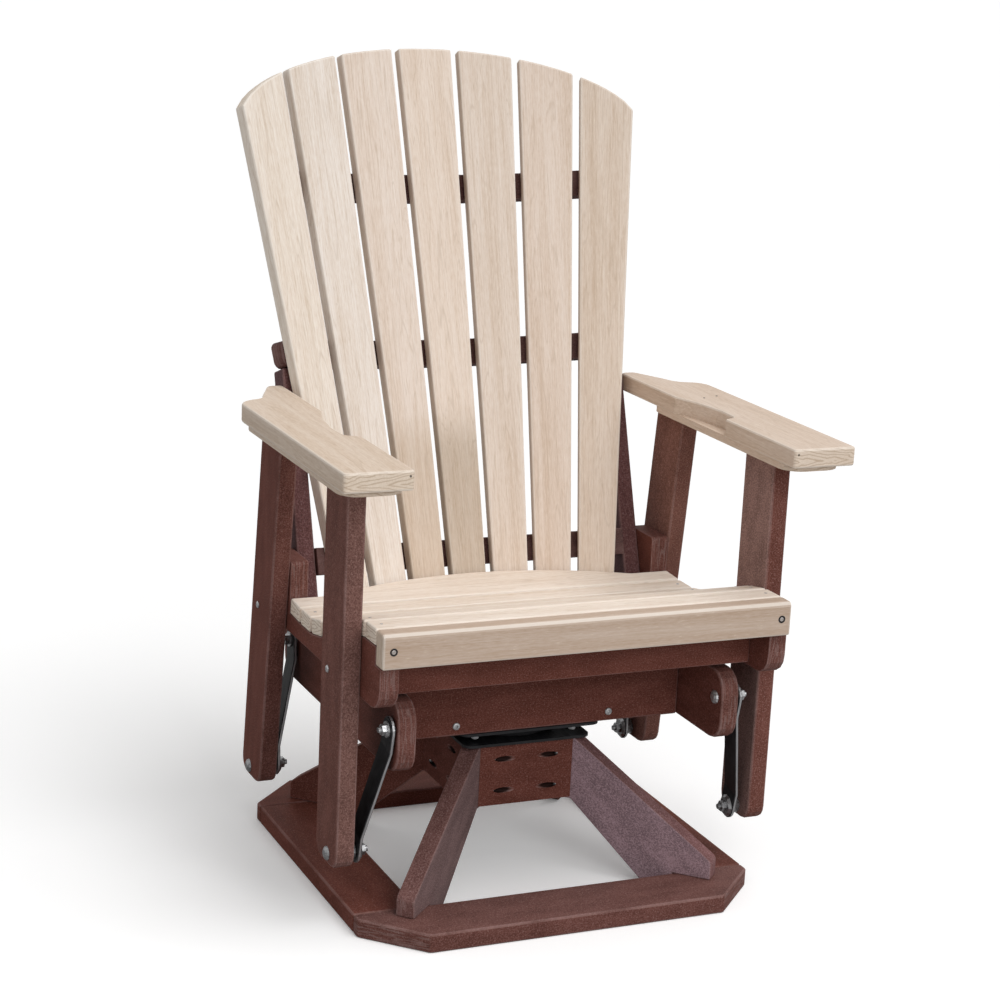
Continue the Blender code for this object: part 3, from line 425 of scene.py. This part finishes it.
# The bloom on a board's broad faces and on its narrow ones, and its colour. It is partly the board's own
# greyer skin and sawn edges and partly painted sheen: the purple-grey struts, the paler inner faces of the
# right post and rear leg, and the violet uprights stand in for reflections of the pale surroundings
BROWN_BLOOM_AND_SHEEN = {
    "strut_front_right": (0.95, 0.30, (0.325, 0.222, 0.248)),
    "strut_front_left": (0.90, 0.45, (0.205, 0.138, 0.136)),
    "base_board_front": (0.45, 0.30, (0.175, 0.110, 0.104)),
    "base_board": (0.00, 0.00, (0.170, 0.100, 0.092)),
    "front_post_right": (0.85, 0.15, (0.290, 0.182, 0.163)),
    "front_post_left": (0.30, 0.70, (0.200, 0.115, 0.100)),
    "rear_leg_right": (0.50, 0.40, (0.275, 0.157, 0.128)),
    "back_upright": (0.75, 0.55, (0.130, 0.080, 0.088)),
    "batten": (0.70, 0.50, (0.050, 0.032, 0.034)),
    "": (0.13, 0.45, (0.170, 0.091, 0.080)),
}


def pocket_shade_mask(shader, place, index):
    """Painted shade in the screw pockets of a hub board: 1 below its face, and level with them."""
    parts = shader.parts(place)
    shift = board_shift(index)
    depth = from_middle(shader, parts[2], shift.z)
    height = from_middle(shader, parts[1], shift.y)
    inside = shader.spread(height, POCKET_SPREAD + POCKET_HALF_H, POCKET_SPREAD + POCKET_RIM_H, 1.0, 0.0)
    return shader.math("MULTIPLY", inside, shader.spread(depth, POCKET_DEEP, POCKET_LIP, POCKET_SHARE, 0.0))


def brown_lumber(name, axes, middle, index):
    """Dark red-brown lumber: fine pale speckle, greyer sawn edges, a bloom that is partly painted sheen, worn
    corners that also carry a painted highlight, painted shade in the hub boards' screw pockets, and layered
    end grain.
    """
    shader = Shader("brown_lumber_" + name)
    broad, narrow, bloom_and_sheen = own_entry(BROWN_BLOOM_AND_SHEEN, name)
    place, normal, _ = local_place(shader, axes, middle, index)
    cloud = shader.noise(place, BROWN_CLOUD, detail=3.0, roughness=0.55)
    grit = shader.noise(place, BROWN_GRIT, detail=3.0, roughness=0.70)
    fine = shader.noise(place, BROWN_FINE, detail=1.0)
    layer = shader.noise(place, BROWN_LAYER, distortion=0.3)
    edge = edge_mask(shader, normal, axes[2])
    end = end_mask(shader, normal, axes[0])

    tone = shader.total((cloud, 0.26), (grit, 0.74))
    colour = shader.ramp(tone, BROWN_TONES)
    flat = shader.math("ABSOLUTE", shader.dot(normal, axes[2]))
    # Bloom that is partly the board's own colour and partly painted sheen
    skin_and_sheen = shader.spread(flat, 0.35, 0.85, to_low=narrow, to_high=broad)
    darkest, palest = (Vector(bloom_and_sheen) * share for share in BLOOM_AND_SHEEN_RANGE)
    colour = shader.mix(skin_and_sheen, colour, shader.ramp(tone, ((0.40, darkest), (0.60, palest))))
    speck = shader.spread(grit, 0.56, 0.70, to_high=SPECK_SHARE)
    colour = shader.mix(speck, colour, [part * SPECK_GAIN + SPECK_LIFT for part in bloom_and_sheen])
    colour = shader.mix(shader.spread(fine, 0.30, 0.42, PIT_SHARE, 0.0), colour, BROWN_PIT)
    lines = shader.math("MULTIPLY", growth_lines(shader, layer, count=5.0, width=0.30), end)
    colour = shader.mix(shader.math("MULTIPLY", lines, LINES_SHARE), colour, BROWN_LINES)
    # Worn corners, also a painted highlight
    wear_and_highlight = shader.math("MULTIPLY", edge, shader.spread(cloud, 0.35, 0.65, to_low=0.30, to_high=0.70))
    colour = shader.mix(wear_and_highlight, colour, BROWN_WEAR_AND_HIGHLIGHT)
    if name.startswith("hub_board"):
        # Painted shade in the screw pockets
        colour = shader.mix(pocket_shade_mask(shader, place, index), colour, POCKET_PAINTED_SHADE)

    height = shader.total((fine, 0.3), (grit, 0.7), (lines, -0.3))
    shader.bump(height, distance=0.0004, strength=0.6)
    rough = shader.spread(grit, 0.35, 0.65, to_low=0.48, to_high=0.66)
    return shader.finish(colour, rough, specular=0.04)


# ---------------------------------------------------------------- steel

STEEL_MARKS = (30, 700, 700)
STEEL_CLOUD = (60, 60, 60)
STEEL_TONES = ((0.35, (0.008, 0.008, 0.009)), (0.65, (0.017, 0.017, 0.019)))
STEEL_BARE = (0.50, 0.50, 0.51)
LINK_BARE, OTHER_BARE = 1.0, 0.03  # how bare the sheared edges are

ZINC_CLOUD = (220, 220, 220)
ZINC_MARKS = (2600, 300, 300)
ZINC_TONES = (
    (0.30, (0.33, 0.33, 0.34)),
    (0.55, (0.52, 0.52, 0.53)),
    (0.75, (0.66, 0.66, 0.65)),
)
# How much duller or brighter single kinds of hardware are, and how metallic. The plate bolts' brightening is a
# painted highlight, standing in for the front light's glint on bolts in the beam's shade
ZINC_KINDS = {"lower_bolt": (0.55, 0.8), "plate_bolts": (1.4, 0.2), "": (1.0, 0.8)}


def dark_steel(name, axes, middle, index):
    """Black finished plate: faint rolling marks, with the coating thin on its sheared edges."""
    shader = Shader("dark_steel_" + name)
    place, normal, _ = local_place(shader, axes, middle, index)
    marks = shader.noise(place, STEEL_MARKS, detail=3.0, roughness=0.6)
    cloud = shader.noise(place, STEEL_CLOUD, detail=3.0)
    flat = shader.math("ABSOLUTE", shader.dot(normal, axes[2]))
    most = LINK_BARE if name.startswith("link") else OTHER_BARE
    worn = shader.spread(marks, 0.3, 0.6, to_low=0.5)
    bare = shader.math("MULTIPLY", shader.spread(flat, 0.25, 0.8, most, 0.0), worn)
    colour = shader.mix(bare, shader.ramp(cloud, STEEL_TONES), STEEL_BARE)
    shader.bump(marks, distance=0.0002, strength=0.4)
    rough = shader.spread(marks, 0.3, 0.7, to_low=0.34, to_high=0.50)
    return shader.finish(colour, rough, metallic=bare, specular=0.15)


def bright_steel(name, axes, middle, index):
    """Zinc plated hardware: cloudy plating with turning marks and dulled hollows."""
    shader = Shader("bright_steel_" + name)
    place, _, _ = local_place(shader, axes, middle, index)
    cloud = shader.noise(place, ZINC_CLOUD, detail=3.0, roughness=0.6)
    marks = shader.noise(place, ZINC_MARKS)
    shade, metallic = own_entry(ZINC_KINDS, name)
    colour = shader.ramp(cloud, ZINC_TONES, [shade] * 3)
    shader.bump(marks, distance=0.0001, strength=0.35)
    rough = shader.spread(cloud, 0.3, 0.7, to_low=0.40, to_high=0.24)
    return shader.finish(colour, rough, metallic=metallic)


PLAIN_AXES = (Vector((1, 0, 0)), Vector((0, 1, 0)), Vector((0, 0, 1)))
LOOK_STARTS = {
    tan_lumber: ("back_slat", "seat_slat", "seat_fascia", "arm"),
    dark_steel: ("link", "swivel_plate"),
    bright_steel: ("upper_bolt", "lower_bolt"),
    brown_lumber: "",
}

for index, (name, node) in enumerate(sorted(nodes.items())):
    look = next(look for look, starts in LOOK_STARTS.items() if name.startswith(starts))
    low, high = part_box(name)
    if look is bright_steel:
        axes = PLAIN_AXES
    elif name.startswith("batten"):
        axes = batten_axes()
    else:
        axes = board_axes(node.data)
    made = look(name, axes, (low + high) / 2, index)
    for slot in node.material_slots:
        slot.material = made
    if not node.material_slots:
        node.data.materials.append(made)


# ---------------------------------------------------------------- fasteners

HEAD_SIDES = 24
SMOOTH_ANGLE = radians(32)


def ring_points(data, frame_at, place, radius, shape):
    """A ring with this many flat sides at one height of a head, or a round one."""
    flats = {"hex": 6, "square": 4}.get(shape)
    loop = []
    for k in range(HEAD_SIDES):
        angle = 2 * pi * k / HEAD_SIDES
        size = radius
        if flats:
            half = pi / flats
            size = radius * cos(half) / cos(angle % (2 * half) - half)
        point = Vector((size * cos(angle), size * sin(angle), place))
        loop.append(data.verts.new(frame_at @ point))
    return loop


def head(data, at, out, spin, rings):
    """Adds a fastener head: rings of (height, radius, shape) from the surface outwards and into the recess."""
    turned = Vector((0, 0, 1)).rotation_difference(Vector(out)).to_matrix().to_4x4()
    frame_at = Matrix.Translation(at) @ turned @ Matrix.Rotation(spin, 4, "Z")
    loops = [ring_points(data, frame_at, *ring) for ring in rings]
    for lower, upper in zip(loops, loops[1:]):
        for k in range(HEAD_SIDES):
            j = (k + 1) % HEAD_SIDES
            data.faces.new((lower[k], lower[j], upper[j], upper[k]))
    data.faces.new(loops[0][::-1])
    data.faces.new(loops[-1])


def pan_head(radius, height):
    return (
        (-0.0004, radius, "round"),
        (height * 0.40, radius, "round"),
        (height * 0.78, radius * 0.86, "round"),
        (height, radius * 0.56, "round"),
        (height, radius * 0.50, "square"),
        (height * 0.25, radius * 0.40, "square"),
    )


def flush_head(radius):
    return (
        (-0.0012, radius * 0.7, "round"),
        (0.0002, radius, "round"),
        (0.0004, radius * 0.9, "round"),
        (0.0003, radius * 0.52, "square"),
        (-0.0008, radius * 0.42, "square"),
    )


def hex_head(radius, height):
    """A hexagonal head on its washer."""
    return (
        (-0.0003, radius * 1.55, "round"),
        (0.0012, radius * 1.55, "round"),
        (0.0014, radius * 1.45, "round"),
        (0.0014, radius, "hex"),
        (height * 0.85, radius, "hex"),
        (height, radius * 0.86, "round"),
    )


def shade_ring(radius):
    """A black ring of painted shade around a head, standing in for the shadow in a countersunk hole."""
    return (
        (-0.0020, radius, "round"),
        (0.0003, radius, "round"),
        (0.0004, radius * 0.94, "round"),
        (0.0002, radius * 0.56, "round"),
        (-0.0006, radius * 0.50, "round"),
    )


def spot(name, start, way):
    """Where a line first meets a node, and the face's outward direction there."""
    mesh = nodes[name].data
    tree = BVHTree.FromPolygons([v.co for v in mesh.vertices], [p.vertices for p in mesh.polygons])
    place, normal, _, _ = tree.ray_cast(Vector(start) + AXIS, Vector(way))
    return place - AXIS, normal


def fasteners(name, body, spots, rings, look=bright_steel):
    """One piece that holds every fastener of a kind. Spots are (place, outward direction)."""
    data = bmesh.new()
    for number, (at, out) in enumerate(spots):
        head(data, Vector(at) + AXIS, out, number * HEAD_TURN, rings)
    bmesh.ops.recalc_face_normals(data, faces=data.faces)
    mesh = bpy.data.meshes.new(name)
    data.to_mesh(mesh)
    data.free()
    mesh.shade_smooth()
    mesh.set_sharp_from_angle(angle=SMOOTH_ANGLE)
    piece = bpy.data.objects.new(name, mesh)
    bpy.context.scene.collection.objects.link(piece)
    mesh.materials.append(look(name, PLAIN_AXES, Vector(spots[0][0]) + AXIS, len(spots)))
    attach(piece, body)


def both(value):
    return (-value, value)


DOWN = (0, 0, -1)

beam_spots = [((x, way * BEAM_FACE, BEAM_SCREW_Z), (0, way, 0)) for x in both(BEAM_SCREW_X) for way in both(1)]
fasteners("beam_screws", "swivel_frame", beam_spots, pan_head(radius=0.0058, height=0.0026))
plate_spots = [((x, y, PLATE_BOTTOM), DOWN) for x in both(PLATE_BOLT_X) for y in both(PLATE_BOLT_Y)]
fasteners("plate_bolts", "swivel_frame", plate_spots, hex_head(radius=0.0060, height=0.0140))

fascia_spots = [((x, FASCIA_FRONT, FASCIA_SCREW_Z), (0, -1, 0)) for x in both(SEAT_SCREW_X)]
fasteners("fascia_screws", "chair", fascia_spots, flush_head(radius=0.0026))
# Painted shade around the fascia screws
fasteners("fascia_sinks", "chair", fascia_spots, shade_ring(radius=0.0056), dark_steel)

arm_spots = [spot("arm_right", (x, y, ABOVE_ALL), DOWN) for x, y in ARM_SCREWS]
fasteners("arm_pins", "chair", arm_spots, flush_head(radius=0.0018), dark_steel)

seat_spots = []
for number in range(1, SEAT_SLATS + 1):
    name = "seat_slat_%d" % number
    low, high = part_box(name)
    for x in both(SEAT_SCREW_X):
        seat_spots.append(spot(name, (x, (low.y + high.y) / 2 - AXIS.y, ABOVE_ALL), DOWN))
fasteners("seat_screws", "chair", seat_spots, flush_head(radius=0.0024))

# The back slats are held from behind, through the battens
batten_spots = []
for name in ("batten_lower", "batten_middle", "batten_top"):
    low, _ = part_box(name)
    z = low.z + BATTEN_MIDDLE
    curve_r = BACK_CURVE_R + BACK_SLOPE * (z - BACK_FOOT)
    for number in range(BACK_SLATS):
        angle = (number - BACK_SLATS // 2) * SLAT_STEP
        higher = BATTEN_LEAN * curve_r * (1 - cos(angle))
        batten_spots.append(spot(name, (curve_r * sin(angle), BEHIND_ALL, z + higher), (0, -1, 0)))
fasteners("batten_screws", "chair", batten_spots, pan_head(radius=0.0042, height=0.0020))

# Screws in the slanted pockets of the four hub boards
pocket_spots = []
for quarter in range(4):
    turned = Matrix.Rotation(quarter * pi / 2, 3, "Z")
    for way in both(1):
        run = Vector((way * cos(POCKET_TILT), sin(POCKET_TILT), 0))
        for rise_way in both(1):
            tip = Vector((way * POCKET_X, -POCKET_Y, HUB_MIDDLE + rise_way * POCKET_SPREAD))
            pocket_spots.append((turned @ (tip - run * POCKET_SCREW_SINK), turned @ -run))
fasteners("pocket_screws", "base", pocket_spots, pan_head(radius=0.0036, height=0.0034))
# Painted shade around the pocket screws
fasteners("pocket_bores", "base", pocket_spots, shade_ring(radius=0.0044), dark_steel)

leg_spots = [((way * LEG_OUT, y, LEG_BOLT_Z), (way, 0, 0)) for way in both(1) for y in LEG_BOLT_Y]
fasteners("leg_bolts", "chair", leg_spots, pan_head(radius=0.0052, height=0.0024))


# ---------------------------------------------------------------- floor, lights, world

FLOOR_HALF = 200.0
FLOOR_BOUNCE = 0.45  # the floor's colour in the light that it throws on the chair
FLOOR_SEEN = 1.0
FLOOR_GLOW = 0.12
FLOOR_ROUGHNESS = 0.9
ROOM_LIGHT = 0.53
BACKDROP = 1.0
LAMP_TARGET = Vector((0, 0, 0.6))


def floor():
    data = bmesh.new()
    corners = ((-1, -1), (1, -1), (1, 1), (-1, 1))
    data.faces.new([data.verts.new((x * FLOOR_HALF, y * FLOOR_HALF, 0.0)) for x, y in corners])
    mesh = bpy.data.meshes.new("floor")
    data.to_mesh(mesh)
    data.free()
    piece = bpy.data.objects.new("floor", mesh)
    bpy.context.scene.collection.objects.link(piece)
    shader = Shader("studio_floor")
    seen = shader.add("ShaderNodeLightPath").outputs["Is Camera Ray"]
    colour = shader.mix(seen, [FLOOR_BOUNCE] * 3, [FLOOR_SEEN] * 3)
    shader.surface.inputs["Emission Color"].default_value = (1.0, 1.0, 1.0, 1.0)
    shader.join(shader.math("MULTIPLY", seen, FLOOR_GLOW), shader.surface.inputs["Emission Strength"])
    mesh.materials.append(shader.finish(colour, FLOOR_ROUGHNESS, specular=0.0))


def lamp(name, kind, strength):
    light = bpy.data.lights.new(name, kind)
    light.energy = strength
    made = bpy.data.objects.new(name, light)
    bpy.context.scene.collection.objects.link(made)
    return light, made


def sun(name, azimuth, elevation, strength, spread):
    """A lamp from this side: azimuth 0 is in front of the object, and 90 is at its right."""
    light, made = lamp(name, "SUN", strength)
    light.angle = radians(spread)
    a, e = radians(azimuth), radians(elevation)
    towards = Vector((sin(a) * cos(e), -cos(a) * cos(e), sin(e)))
    made.rotation_euler = towards.to_track_quat("Z", "Y").to_euler()


def softbox(name, place, size, watts):
    """A square lamp that shines at the chair's seat."""
    light, made = lamp(name, "AREA", watts)
    light.size = size
    made.location = place
    made.rotation_euler = (Vector(place) - LAMP_TARGET).to_track_quat("Z", "Y").to_euler()


floor()
sun("key", azimuth=44, elevation=66, strength=1.25, spread=40)
softbox("front", place=(0.0, -2.5, 1.7), size=1.3, watts=20)

# White where the camera, glossy and transmission rays see it, and dimmer as a light
world = bpy.data.worlds.new("studio")
bpy.context.scene.world = world
world.use_nodes = True
tree = world.node_tree
background = tree.nodes["Background"]
background.inputs["Color"].default_value = (1.0, 1.0, 1.0, 1.0)
path = tree.nodes.new("ShaderNodeLightPath")
seen = path.outputs["Is Camera Ray"]
for ray in ("Is Glossy Ray", "Is Transmission Ray"):
    joined = tree.nodes.new("ShaderNodeMath")
    joined.operation = "MAXIMUM"
    tree.links.new(seen, joined.inputs[0])
    tree.links.new(path.outputs[ray], joined.inputs[1])
    seen = joined.outputs[0]
strength = tree.nodes.new("ShaderNodeMapRange")
tree.links.new(seen, strength.inputs["Value"])
strength.inputs["To Min"].default_value = ROOM_LIGHT
strength.inputs["To Max"].default_value = BACKDROP
tree.links.new(strength.outputs[0], background.inputs["Strength"])

bpy.context.scene.view_settings.view_transform = "Standard"
